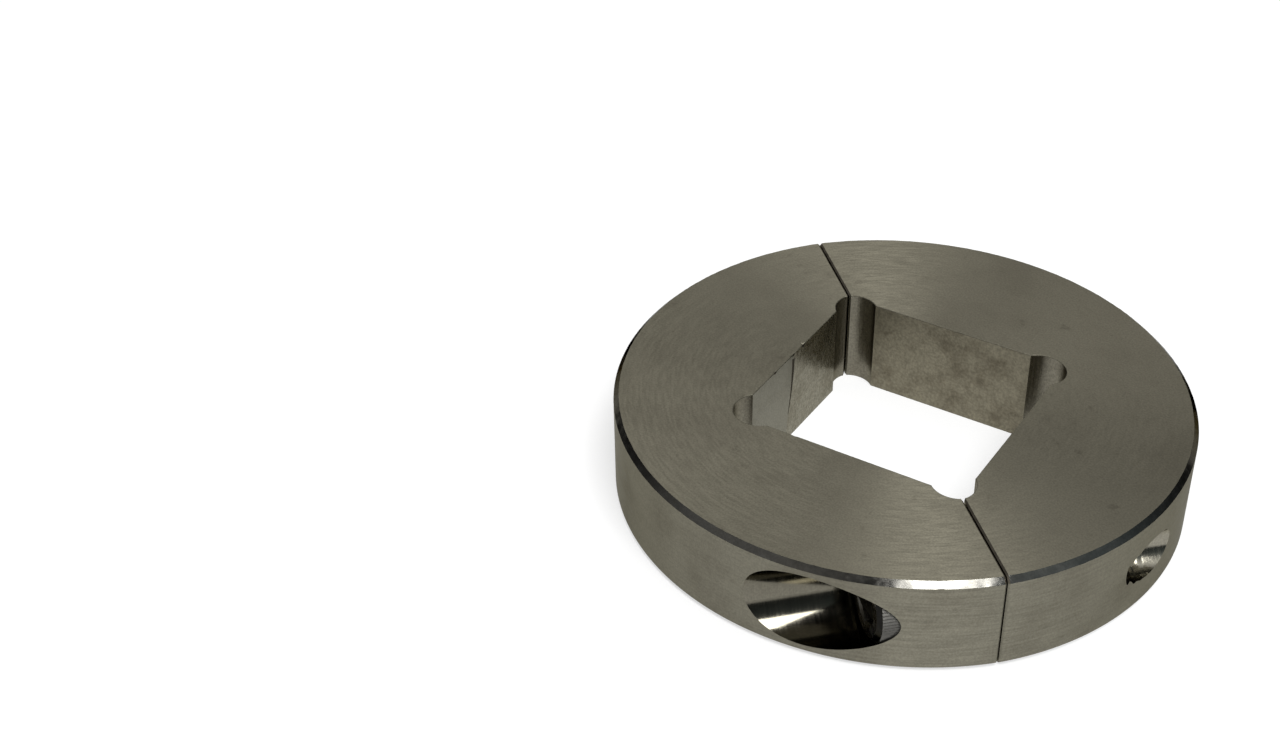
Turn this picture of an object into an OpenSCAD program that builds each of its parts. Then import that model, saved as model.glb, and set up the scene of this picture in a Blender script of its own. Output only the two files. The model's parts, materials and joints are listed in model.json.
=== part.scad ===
// Two-piece clamp collar for a square shaft: two equal half rings drawn together by two cap screws.
// The split runs through two opposite corners of the square. The halves were bored as one ring and then
// sawn apart, and they stand closed up here, as they do with no shaft between them.
// Frame: Z along the bore, X and Y along the sides of the square, origin on the bottom face.

/* [Ring] */
// Outside diameter of the ring
ring_d = 88.9; // [84:0.1:110]
// Width of the ring along the bore
ring_w = 15.875; // [14.5:0.125:25]
// Chamfer round both outer edges
rim_chamfer = 0.8; // [0.3:0.1:1.4]

/* [Square bore] */
// Side of the square bore, as bored
bore_side = 38.1; // [30:0.1:40]
// Radius of the drilled relief in each corner of the square
relief_r = 3.97; // [1.5:0.01:5]

/* [Split] */
// Width of the saw cut that parted the halves
saw_kerf = 1.6; // [0.4:0.1:2.5]
// Gap left between the closed halves
seam_gap = 0.2; // [0.1:0.05:0.6]
// Edge break along the top, bottom and outer edges of the split faces
seam_break = 0.2; // [0.1:0.05:0.4]

/* [Clamp screws] */
// Distance of each screw axis in from the rim
screw_inset = 8.65; // [7:0.05:10]
// Thickness of metal between the split face and the screw head's seat
clamp_land = 8.7; // [6:0.1:12]
// Diameter of the screw head over its knurl
head_d = 11.9; // [10:0.05:12.3]
// Height of the screw head
head_h = 7.94; // [6:0.01:9]
// Chamfer round the top of the head
head_chamfer = 0.6; // [0.3:0.05:0.9]
// Edge break round the bearing face of the head
head_break = 0.3; // [0.1:0.05:0.6]
// Height of the plain band between the knurl and the bearing face
plain_band = 1.6; // [0.8:0.1:2.5]
// Spacing of the knurl's ridges round the head
knurl_pitch = 0.52; // [0.4:0.02:1.2]
// Depth of the knurl's grooves
knurl_depth = 0.14; // [0.05:0.01:0.25]
// Width across the flats of the hex socket
socket_af = 6.35; // [4:0.05:6.6]
// Depth of the hex socket
socket_depth = 4.1; // [2:0.1:5]
// Chamfer round the mouth of the hex socket
socket_chamfer = 0.3; // [0.1:0.05:0.5]
// Length of the screw under the head
screw_len = 25.4; // [20:0.1:32]
// Root diameter of the screw's thread
thread_root_d = 6.5; // [5:0.05:6.9]
// Outside diameter of the screw's thread
thread_major_d = 7.94; // [7:0.01:8.2]
// Chamfer at the tip of the screw
tip_chamfer = 0.9; // [0.3:0.1:1.5]
// Length of the undercut between the head and the first thread
neck_len = 0.8; // [0.4:0.1:1.5]
// Depth of that undercut below the thread's root
neck_depth = 0.15; // [0.05:0.05:0.4]

/* [Clearances] */
// Radial clearance of the head in its counterbore
head_clearance = 0.3; // [0.2:0.05:0.6]
// Radial clearance of the thread in the plain hole through the clamp land
shank_clearance = 0.25; // [0.1:0.05:0.6]
// Radial clearance of the screw's root in the tapped hole
tap_clearance = 0.05; // [0.02:0.01:0.1]

/* [Hidden] */
$fn = 96;

// Overlap that carries each cut clear through its wall
overcut = 1;
// Angle from the split's front end to the X axis: the split lies on the square's diagonal
split_angle = -45;
// Colour of the sawn and turned ring, and of the brighter screws
ring_colour = [0.45, 0.44, 0.40];
screw_colour = [0.55, 0.54, 0.51];

ring_r = ring_d / 2;
mid_z = ring_w / 2;
half_diagonal = bore_side / sqrt(2);
relief_centre = half_diagonal - relief_r;
split_face = saw_kerf / 2;
// How far each half has moved in to close the saw cut
closing = (saw_kerf - seam_gap) / 2;

screw_offset = ring_r - screw_inset;
counterbore_r = head_d / 2 + head_clearance;
clearance_hole_r = thread_major_d / 2 + shank_clearance;
tapped_hole_r = thread_root_d / 2 + tap_clearance;
tap_lead_in = (thread_major_d - thread_root_d) / 2;

crest_r = head_d / 2;
groove_r = crest_r - knurl_depth;
// The plain band lies midway between the knurl's crests and grooves, and the core well inside both
plain_r = crest_r - knurl_depth / 2;
core_r = groove_r - knurl_depth;
knurl_count = round(PI * head_d / knurl_pitch);
knurl_top = head_h - head_chamfer;
socket_point = socket_af / 2 * tan(30);
root_r = thread_root_d / 2;

// Ring as turned, with both outer edges chamfered
module turned_ring() {
    rotate_extrude()
        polygon([
            [0, 0],
            [ring_r - rim_chamfer, 0],
            [ring_r, rim_chamfer],
            [ring_r, ring_w - rim_chamfer],
            [ring_r - rim_chamfer, ring_w],
            [0, ring_w]
        ]);
}

// Square bore with a drilled relief in every corner, its corners on the local X and Y axes
module square_bore() {
    translate([0, 0, -overcut])
        linear_extrude(ring_w + 2 * overcut) {
            rotate(45)
                square(bore_side, center = true);
            for (corner = [0:90:270])
                rotate(corner)
                    translate([relief_centre, 0])
                        circle(relief_r);
        }
}

// Everything on the far side of the split face, with a bevel along its top, bottom and outer edges
module split_cut() {
    edge = seam_break * sqrt(2);
    rim_x = sqrt(ring_r * ring_r - split_face * split_face);
    translate([-ring_d, split_face - 2 * ring_d, -overcut])
        cube([2 * ring_d, 2 * ring_d, ring_w + 2 * overcut]);
    for (z = [0, ring_w])
        translate([0, split_face, z])
            rotate([45, 0, 0])
                cube([2 * ring_d, edge, edge], center = true);
    for (x = [-rim_x, rim_x])
        translate([x, split_face, mid_z])
            rotate(45)
                cube([edge, edge, ring_w + 2 * overcut], center = true);
}

// A cylinder along local +Y at mid width, starting at y
module cross_hole(x, y, r, length) {
    translate([x, y, mid_z])
        rotate([-90, 0, 0])
            cylinder(h = length, r = r);
}

// Plain hole and counterbore for one screw's head
module head_pocket(x) {
    cross_hole(x, split_face - overcut, clearance_hole_r, clamp_land + 2 * overcut);
    cross_hole(x, split_face + clamp_land, counterbore_r, ring_r);
}

// Tapped hole for the other screw, open at the rim, with a lead-in at the split face
module tapped_hole(x) {
    lead_in_h = tap_lead_in + overcut;
    cross_hole(x, split_face - overcut, tapped_hole_r, ring_d);
    translate([x, split_face - overcut, mid_z])
        rotate([-90, 0, 0])
            cylinder(h = lead_in_h, r1 = tapped_hole_r + lead_in_h, r2 = tapped_hole_r);
}

// One half ring on local +Y: tapped at +X, counterbored at -X, and moved in to the seam
module collar_half() {
    translate([0, -closing, 0])
        difference() {
            turned_ring();
            square_bore();
            split_cut();
            tapped_hole(screw_offset);
            head_pocket(-screw_offset);
        }
}

// Knurled band of the screw head: one sharp ridge per pitch
module knurl_band() {
    step = 360 / knurl_count;
    translate([0, 0, plain_band])
        linear_extrude(knurl_top - plain_band)
            polygon([
                for (i = [0 : knurl_count - 1], part = [0, 1])
                    let (r = part == 0 ? crest_r : groove_r, a = (i + part / 2) * step)
                        [r * cos(a), r * sin(a)]
            ]);
}

// Hex socket with a chamfered mouth and the point of the drill that started it
module hex_socket() {
    corner_r = socket_af / sqrt(3);
    translate([0, 0, head_h - socket_depth])
        cylinder(h = socket_depth + overcut, r = corner_r, $fn = 6);
    translate([0, 0, head_h - socket_depth - socket_point])
        cylinder(h = socket_point, r1 = 0, r2 = socket_af / 2);
    translate([0, 0, head_h - socket_chamfer])
        cylinder(h = socket_chamfer, r1 = socket_af / 2, r2 = socket_af / 2 + socket_chamfer * sqrt(3));
}

// Socket head cap screw along local Z, with the bearing face of its head at Z = 0
module cap_screw() {
    difference() {
        union() {
            rotate_extrude()
                polygon([
                    [0, -screw_len],
                    [root_r - tip_chamfer, -screw_len],
                    [root_r, tip_chamfer - screw_len],
                    [root_r, -neck_len],
                    [root_r - neck_depth, -neck_len],
                    [root_r - neck_depth, 0],
                    [plain_r - head_break, 0],
                    [plain_r, head_break],
                    [plain_r, plain_band],
                    [core_r, plain_band],
                    [core_r, knurl_top],
                    [core_r - head_chamfer, head_h],
                    [0, head_h]
                ]);
            knurl_band();
        }
        hex_socket();
    }
}

// Puts a screw on its axis at the split's front end, with its head on the local -Y side
module on_front_axis() {
    translate([screw_offset, -seam_gap / 2 - clamp_land, mid_z])
        rotate([90, 0, 0])
            children();
}

module right_half() {
    color(ring_colour)
        rotate(split_angle)
            collar_half();
}

module left_half() {
    color(ring_colour)
        rotate(split_angle + 180)
            collar_half();
}

module front_clamp_screw() {
    color(screw_colour)
        rotate(split_angle)
            on_front_axis()
                cap_screw();
}

module rear_clamp_screw() {
    color(screw_colour)
        rotate(split_angle + 180)
            on_front_axis()
                cap_screw();
}

left_half();
right_half();
front_clamp_screw();
rear_clamp_screw();
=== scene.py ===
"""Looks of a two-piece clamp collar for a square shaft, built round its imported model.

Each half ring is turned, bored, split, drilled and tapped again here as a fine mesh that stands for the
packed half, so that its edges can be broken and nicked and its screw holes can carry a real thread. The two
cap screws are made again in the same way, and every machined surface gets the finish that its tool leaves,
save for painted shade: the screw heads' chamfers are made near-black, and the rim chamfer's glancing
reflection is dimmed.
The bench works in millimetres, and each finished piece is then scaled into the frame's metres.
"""

import json
import logging
import math
from collections.abc import Callable, Iterator
from contextlib import contextmanager
from dataclasses import dataclass, field, replace
from enum import Enum

import bmesh
import bpy
from mathutils import Matrix, Quaternion, Vector, noise


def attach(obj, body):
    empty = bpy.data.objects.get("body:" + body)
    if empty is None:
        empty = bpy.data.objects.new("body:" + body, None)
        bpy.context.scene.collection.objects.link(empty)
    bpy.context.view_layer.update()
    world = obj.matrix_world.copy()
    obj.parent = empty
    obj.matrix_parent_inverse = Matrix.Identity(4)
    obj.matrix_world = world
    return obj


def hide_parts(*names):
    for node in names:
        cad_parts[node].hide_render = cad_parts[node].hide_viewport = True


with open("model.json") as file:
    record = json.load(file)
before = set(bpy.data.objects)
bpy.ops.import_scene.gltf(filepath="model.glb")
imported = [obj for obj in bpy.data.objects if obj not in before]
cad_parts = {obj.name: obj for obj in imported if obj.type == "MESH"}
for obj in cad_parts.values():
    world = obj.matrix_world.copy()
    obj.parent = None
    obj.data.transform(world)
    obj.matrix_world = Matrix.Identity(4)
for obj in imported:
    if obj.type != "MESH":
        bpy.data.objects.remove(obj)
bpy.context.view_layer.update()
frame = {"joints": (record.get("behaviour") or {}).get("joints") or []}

# Metres in a millimetre
MM = 0.001
# A point nearer than this to a surface, in millimetres, is taken to lie on it
NEAR = 0.004
# The same for a face's centre on a flat, and for a point on a curve made of facets
NEAR_FLAT = 3 * NEAR
NEAR_CURVE = 5 * NEAR
# Points nearer than this to each other are taken to be one
MERGE = NEAR / 10
# Cosines that tell how squarely a face looks in a direction
FLAT_ON = 0.995
SQUARE_ON = 0.95
LEANING = 0.3
TILTED = 0.1
# Faces that meet at less than this angle are shaded as one curve
SMOOTH_BELOW = math.radians(18)
# Profile that keeps a bevel of two steps straight
STRAIGHT = 0.25
UP = Vector((0.0, 0.0, 1.0))
Colour = tuple[float, float, float]
Span = tuple[float, float]
Socket = bpy.types.NodeSocket
Value = Socket | float

log = logging.getLogger("square_bore_collar")


class Pick(Enum):
    """What is picked in edit mode."""

    POINTS = "VERT"
    EDGES = "EDGE"
    FACES = "FACE"


class Joining(Enum):
    """How a tool meets the piece that it is set into."""

    CUT = "DIFFERENCE"
    ADD = "UNION"


class Marks(Enum):
    """The lie of the marks that a tool leaves."""

    RINGS = "rings about the bore"
    BORE_LINES = "lines along the bore"
    SAW_LINES = "lines across the split"
    HOLE_RINGS = "rings about the screw holes"


class Surface(Enum):
    """A machined surface, named for the work that made it, or for the shade painted on it."""

    FACED = "faced_steel"
    TURNED = "turned_steel"
    CHAMFERED = "chamfered_steel"
    SQUARED = "squared_bore_steel"
    RUBBED = "rubbed_bore_steel"
    MOTTLED = "mottled_bore_steel"
    GOUGED = "gouged_bore_steel"
    RELIEVED = "drilled_relief_steel"
    COUNTERBORED = "counterbored_steel"
    TAPPED = "tapped_steel"
    SAWN = "sawn_steel"
    BROKEN_EDGE = "broken_edge_steel"
    SEAM_EDGE = "seam_edge_steel"
    HEAD_END = "screw_head_steel"
    # Painted shade: the screw head's chamfer is coloured near-black so that it looks shaded deep in the
    # counterbore
    HEAD_CHAMFER = "screw_chamfer_steel"
    KNURLED = "knurled_steel"
    BROACHED = "broached_socket_steel"
    ROLLED = "rolled_thread_steel"


def clear_bench() -> None:
    """Leaves edit mode and lays every object down."""
    if bpy.context.object and bpy.context.object.mode != "OBJECT":
        bpy.ops.object.mode_set(mode="OBJECT")
    bpy.ops.object.select_all(action="DESELECT")


def take_up(piece: bpy.types.Object) -> None:
    """Makes one piece the only one in hand.

    Args:
        piece: The piece to take up.
    """
    clear_bench()
    piece.select_set(True)
    bpy.context.view_layer.objects.active = piece


def set_in_mesh(piece: bpy.types.Object) -> None:
    """Moves a piece's place, turn and scale into its mesh."""
    take_up(piece)
    bpy.ops.object.transform_apply(location=True, rotation=True, scale=True)


@contextmanager
def editing(piece: bpy.types.Object, kind: Pick) -> Iterator[None]:
    """Opens a piece in edit mode with nothing picked, and closes it again.

    Args:
        piece: The piece to work on.
        kind: What is going to be picked.
    """
    take_up(piece)
    bpy.ops.object.mode_set(mode="EDIT")
    bpy.ops.mesh.select_mode(type=kind.value)
    bpy.ops.mesh.select_all(action="DESELECT")
    yield
    bpy.ops.object.mode_set(mode="OBJECT")


def pick_edges(piece: bpy.types.Object, test: Callable[[Vector, Vector], bool]) -> None:
    """Picks the edges whose two ends pass a test.

    Args:
        piece: The piece open in edit mode.
        test: Says from an edge's two ends whether it is wanted.
    """
    mesh = bmesh.from_edit_mesh(piece.data)
    for edge in mesh.edges:
        edge.select_set(test(edge.verts[0].co, edge.verts[1].co))
    bmesh.update_edit_mesh(piece.data)


def pick_faces(piece: bpy.types.Object, test: Callable[[Vector, Vector], bool]) -> None:
    """Picks the faces whose centre and normal pass a test.

    Args:
        piece: The piece open in edit mode.
        test: Says from a face's centre and normal whether it is wanted.
    """
    mesh = bmesh.from_edit_mesh(piece.data)
    for face in mesh.faces:
        face.select_set(test(face.calc_center_median(), face.normal))
    bmesh.update_edit_mesh(piece.data)


def step_edges(piece: bpy.types.Object, test: Callable[[Vector, Vector], bool], steps: int) -> None:
    """Sets points along edges at equal steps, and leaves the faces beside them whole.

    Args:
        piece: The piece open in edit mode.
        test: Says from an edge's two ends whether it is wanted.
        steps: Number of lengths that each edge is parted into.
    """
    mesh = bmesh.from_edit_mesh(piece.data)
    for edge in [e for e in mesh.edges if test(e.verts[0].co, e.verts[1].co)]:
        start, rest = edge.verts[0], edge
        for left in range(steps, 1, -1):
            cut, point = bmesh.utils.edge_split(rest, start, 1.0 / left)
            rest = next(e for e in point.link_edges if e is not cut)
            start = point
    bmesh.update_edit_mesh(piece.data)


def carve(piece: bpy.types.Object, tool: bpy.types.Object, how: Joining) -> None:
    """Sets a tool into a piece and throws the tool away.

    Args:
        piece: The piece that is kept.
        tool: The shape that is cut out of it or added to it.
        how: Whether the tool cuts or adds.
    """
    modifier = piece.modifiers.new("carve", "BOOLEAN")
    modifier.operation = how.value
    modifier.solver = "EXACT"
    modifier.object = tool
    take_up(piece)
    bpy.ops.object.modifier_apply(modifier=modifier.name)
    bpy.data.objects.remove(tool, do_unlink=True)


def trim_slivers(piece: bpy.types.Object) -> None:
    """Merges points that all but touch, and takes out the faces that are left without area.

    Args:
        piece: The piece to trim.
    """
    with editing(piece, Pick.POINTS):
        bpy.ops.mesh.select_all(action="SELECT")
        bpy.ops.mesh.remove_doubles(threshold=MERGE)
        bpy.ops.mesh.dissolve_degenerate(threshold=MERGE)


def turned(rings: list[tuple[float, float]], facets: int) -> bpy.types.Object:
    """A closed shape of rings drawn up along Z, each at a height and a radius.

    Args:
        rings: Height and radius of each ring in order. Two rings may share a height.
        facets: Number of flats round it.

    Returns:
        The shape, standing on world Z.
    """
    clear_bench()
    height, radius = rings[0]
    bpy.ops.mesh.primitive_circle_add(
        vertices=facets, radius=radius, fill_type="NGON", location=(0.0, 0.0, height)
    )
    shape = bpy.context.object
    set_in_mesh(shape)
    with editing(shape, Pick.FACES):
        bpy.ops.mesh.select_all(action="SELECT")
        for next_height, next_radius in rings[1:]:
            rise = {"value": (0.0, 0.0, next_height - height)}
            bpy.ops.mesh.extrude_region_move(TRANSFORM_OT_translate=rise)
            share = next_radius / radius
            bpy.ops.transform.resize(value=(share, share, 1.0))
            height, radius = next_height, next_radius
        bpy.ops.mesh.select_all(action="SELECT")
        bpy.ops.mesh.normals_make_consistent(inside=False)
    return shape


def off_axis(point: Vector, origin: Vector, axis: Vector) -> float:
    """Distance of a point from the line through origin along the unit vector axis."""
    arm = point - origin
    return (arm - arm.dot(axis) * axis).length


def axis_frame(origin: Vector, axis: Vector) -> Matrix:
    """Frame at origin whose Z lies along axis."""
    return Matrix.Translation(origin) @ axis.to_track_quat("Z", "Y").to_matrix().to_4x4()


class NodeBench:
    """Lays out the nodes of one material, or of the sky."""

    grain_roughness: float = 0.6

    def __init__(self, tree: bpy.types.NodeTree) -> None:
        """Takes the node tree to work on."""
        self.nodes = tree.nodes
        self.links = tree.links

    def feed(self, socket: Socket, value: Value | Colour) -> None:
        """Links an output to a socket, or sets the socket to a plain value.

        Args:
            socket: The input to feed.
            value: The output, or the plain value.
        """
        if isinstance(value, Socket):
            self.links.new(value, socket)
        else:
            socket.default_value = value

    def work(self, operation: str, *values: Value) -> Socket:
        """Result of one arithmetic step on numbers.

        Args:
            operation: Blender's name of the step.
            *values: The numbers, in the step's order.

        Returns:
            The result.
        """
        node = self.nodes.new("ShaderNodeMath")
        node.operation = operation
        for socket, value in zip(node.inputs, values):
            self.feed(socket, value)
        return node.outputs[0]

    def vector(self, x: Value, y: Value, z: Value) -> Socket:
        """A vector of three numbers.

        Args:
            x: First number.
            y: Second number.
            z: Third number.

        Returns:
            The vector.
        """
        node = self.nodes.new("ShaderNodeCombineXYZ")
        for socket, value in zip(node.inputs, (x, y, z)):
            self.feed(socket, value)
        return node.outputs[0]

    def parts(self, vector: Socket) -> tuple[Socket, ...]:
        """The three numbers of a vector.

        Args:
            vector: The vector.

        Returns:
            Its numbers.
        """
        node = self.nodes.new("ShaderNodeSeparateXYZ")
        self.feed(node.inputs[0], vector)
        return tuple(node.outputs)

    def mapped(self, vector: Socket, turn: float, scale: Colour) -> Socket:
        """A vector turned about Z, and then scaled along each axis.

        Args:
            vector: The vector.
            turn: Angle of the turn.
            scale: Scale along each axis.

        Returns:
            The vector as mapped.
        """
        for name, amount in (("Rotation", (0.0, 0.0, turn)), ("Scale", scale)):
            node = self.nodes.new("ShaderNodeMapping")
            node.inputs[name].default_value = amount
            self.feed(node.inputs["Vector"], vector)
            vector = node.outputs[0]
        return vector

    def along(self, vector: Socket, direction: Vector) -> Socket:
        """How far a vector reaches along a direction.

        Args:
            vector: The vector.
            direction: Its unit vector.

        Returns:
            The reach.
        """
        node = self.nodes.new("ShaderNodeVectorMath")
        node.operation = "DOT_PRODUCT"
        self.feed(node.inputs[0], vector)
        node.inputs[1].default_value = direction
        return node.outputs["Value"]

    def grain(self, vector: Socket, scale: float, detail: float) -> Socket:
        """Noise between 0 and 1, with features about one over scale in size.

        Args:
            vector: Where the noise is taken.
            scale: Its scale.
            detail: Number of finer layers.

        Returns:
            The noise.
        """
        node = self.nodes.new("ShaderNodeTexNoise")
        node.inputs["Scale"].default_value = scale
        node.inputs["Detail"].default_value = detail
        node.inputs["Roughness"].default_value = self.grain_roughness
        self.feed(node.inputs["Vector"], vector)
        return node.outputs["Fac"]

    def spread(self, value: Value, low: float, high: float, to_low: float, to_high: float) -> Socket:
        """A number carried from one span to another, held at its ends.

        Args:
            value: The number.
            low: Lower end of its span.
            high: Upper end of its span.
            to_low: What the lower end becomes.
            to_high: What the upper end becomes.

        Returns:
            The number as carried.
        """
        node = self.nodes.new("ShaderNodeMapRange")
        node.interpolation_type = "SMOOTHSTEP"
        for name, number in (("From Min", low), ("From Max", high), ("To Min", to_low), ("To Max", to_high)):
            node.inputs[name].default_value = number
        self.feed(node.inputs["Value"], value)
        return node.outputs["Result"]

    def blend(self, share: Value, first: Value | Colour, second: Value | Colour) -> Socket:
        """A colour between two colours.

        Args:
            share: How much of the second is taken.
            first: First colour.
            second: Second colour.

        Returns:
            The colour.
        """
        node = self.nodes.new("ShaderNodeMix")
        node.data_type = "RGBA"
        self.feed(node.inputs["Factor"], share)
        for name, colour in (("A", first), ("B", second)):
            socket = next(s for s in node.inputs if s.name == name and s.type == "RGBA")
            self.feed(socket, colour if isinstance(colour, Socket) else (*colour, 1.0))
        return next(s for s in node.outputs if s.type == "RGBA")

    def tinted(self, colour: Value | Colour, tone: Value) -> Socket:
        """A colour made lighter or darker.

        Args:
            colour: The colour.
            tone: What it is multiplied by.

        Returns:
            The colour.
        """
        node = self.nodes.new("ShaderNodeVectorMath")
        node.operation = "SCALE"
        self.feed(node.inputs[0], colour)
        self.feed(node.inputs["Scale"], tone)
        return node.outputs[0]

    def total(self, first: Socket, second: Socket) -> Socket:
        """Two colours added.

        Args:
            first: First colour.
            second: Second colour.

        Returns:
            Their sum.
        """
        node = self.nodes.new("ShaderNodeVectorMath")
        node.operation = "ADD"
        self.feed(node.inputs[0], first)
        self.feed(node.inputs[1], second)
        return node.outputs[0]


@dataclass(frozen=True)
class Finish:
    """Bare steel as one tool leaves it, though some finishes carry painted shade in their colour or tint.
    Mark lengths are in millimetres, and spans are of noise.
    """

    marks: Marks
    colour: Colour = (0.212, 0.198, 0.152)
    stain: Colour = (0.13, 0.118, 0.09)
    roughness: float = 0.36
    mark_length: float = 1.6
    mark_spacing: float = 0.42
    tone_swing: float = 0.08
    roughness_swing: float = 0.06
    mark_depth: float = 0.01
    grain_size: float = 0.3
    grain_swing: float = 0.12
    mottle: float = 0.25
    mottle_size: float = 12.0
    smudge: float = 0.4
    smudge_size: float = 3.0
    speck: float = 0.3
    speck_size: float = 0.9
    edge_tint: Colour = (0.5, 0.49, 0.45)
    anisotropy: float = 0.0
    mean_radius: float = 34.0
    ring_lead: float = 1.7
    tangent_rise: float = 0.4
    streak_span: Span = (0.3, 0.7)
    grain_span: Span = (0.2, 0.8)
    mottle_span: Span = (0.4, 0.75)
    smudge_span: Span = (0.66, 0.76)
    speck_span: Span = (0.72, 0.8)

    def mark_space(self, bench: NodeBench, place: Socket) -> Socket:
        """Coordinates in which the tool marks are about one unit long and one unit wide.

        Args:
            bench: The material's nodes.
            place: Object coordinates in millimetres.

        Returns:
            The coordinates.
        """
        along, across = 1.0 / self.mark_length, 1.0 / self.mark_spacing
        if self.marks is Marks.RINGS:
            x, y, z = bench.parts(place)
            squares = bench.work("ADD", bench.work("MULTIPLY", x, x), bench.work("MULTIPLY", y, y))
            radius = bench.work("SQRT", squares)
            reach = bench.work("DIVIDE", self.mean_radius * along, radius)
            ring = bench.work("MULTIPLY", bench.work("MULTIPLY_ADD", z, self.ring_lead, radius), across)
            return bench.vector(bench.work("MULTIPLY", x, reach), bench.work("MULTIPLY", y, reach), ring)
        scales = {
            Marks.BORE_LINES: (across, across, along),
            Marks.SAW_LINES: (along, along, across),
            Marks.HOLE_RINGS: (across, along, along),
        }
        return bench.mapped(place, -math.pi / 4, scales[self.marks])

    def material(self, name: str) -> bpy.types.Material:
        """The finish as a material.

        Args:
            name: Name of the material.

        Returns:
            The material.
        """
        steel = bpy.data.materials.new(name)
        steel.use_nodes = True
        bench = NodeBench(steel.node_tree)
        shader = bench.nodes["Principled BSDF"]
        shader.inputs["Metallic"].default_value = 1.0
        shader.inputs["Anisotropic"].default_value = self.anisotropy
        shader.inputs["Specular Tint"].default_value = (*self.edge_tint, 1.0)
        where = bench.nodes.new("ShaderNodeTexCoord").outputs["Object"]
        place = bench.mapped(where, 0.0, (1.0 / MM, 1.0 / MM, 1.0 / MM))
        space = self.mark_space(bench, place)
        streaks = bench.grain(space, 1.0, 2.0)
        fine = bench.grain(place, 1.0 / self.grain_size, 1.0)
        blotches = bench.grain(place, 1.0 / self.mottle_size, 4.0)
        spots = bench.grain(place, 1.0 / self.smudge_size, 2.0)
        pits = bench.grain(place, 1.0 / self.speck_size, 1.0)
        streaked = bench.spread(streaks, *self.streak_span, 1.0 - self.tone_swing, 1.0 + self.tone_swing)
        grained = bench.spread(fine, *self.grain_span, 1.0 - self.grain_swing, 1.0 + self.grain_swing)
        mottle = bench.spread(blotches, *self.mottle_span, 0.0, self.mottle)
        smudge = bench.spread(spots, *self.smudge_span, 0.0, self.smudge)
        speck = bench.spread(pits, *self.speck_span, 0.0, self.speck)
        share = bench.work("MAXIMUM", bench.work("MAXIMUM", mottle, smudge), speck)
        tone = bench.work("MULTIPLY", streaked, grained)
        colour = bench.tinted(bench.blend(share, self.colour, self.stain), tone)
        bench.feed(shader.inputs["Base Color"], colour)
        scatter = bench.spread(streaks, *self.streak_span, self.roughness - self.roughness_swing,
                               self.roughness + self.roughness_swing)
        roughness = bench.work("MULTIPLY_ADD", share, self.roughness_swing, scatter)
        bench.feed(shader.inputs["Roughness"], roughness)
        bump = bench.nodes.new("ShaderNodeBump")
        bump.inputs["Distance"].default_value = self.mark_depth * MM
        bench.feed(bump.inputs["Height"], streaks)
        bench.feed(shader.inputs["Normal"], bump.outputs["Normal"])
        if self.anisotropy:
            x, y, _ = bench.parts(place)
            bench.feed(shader.inputs["Tangent"], bench.vector(x, y, self.tangent_rise * self.mean_radius))
        return steel


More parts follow.
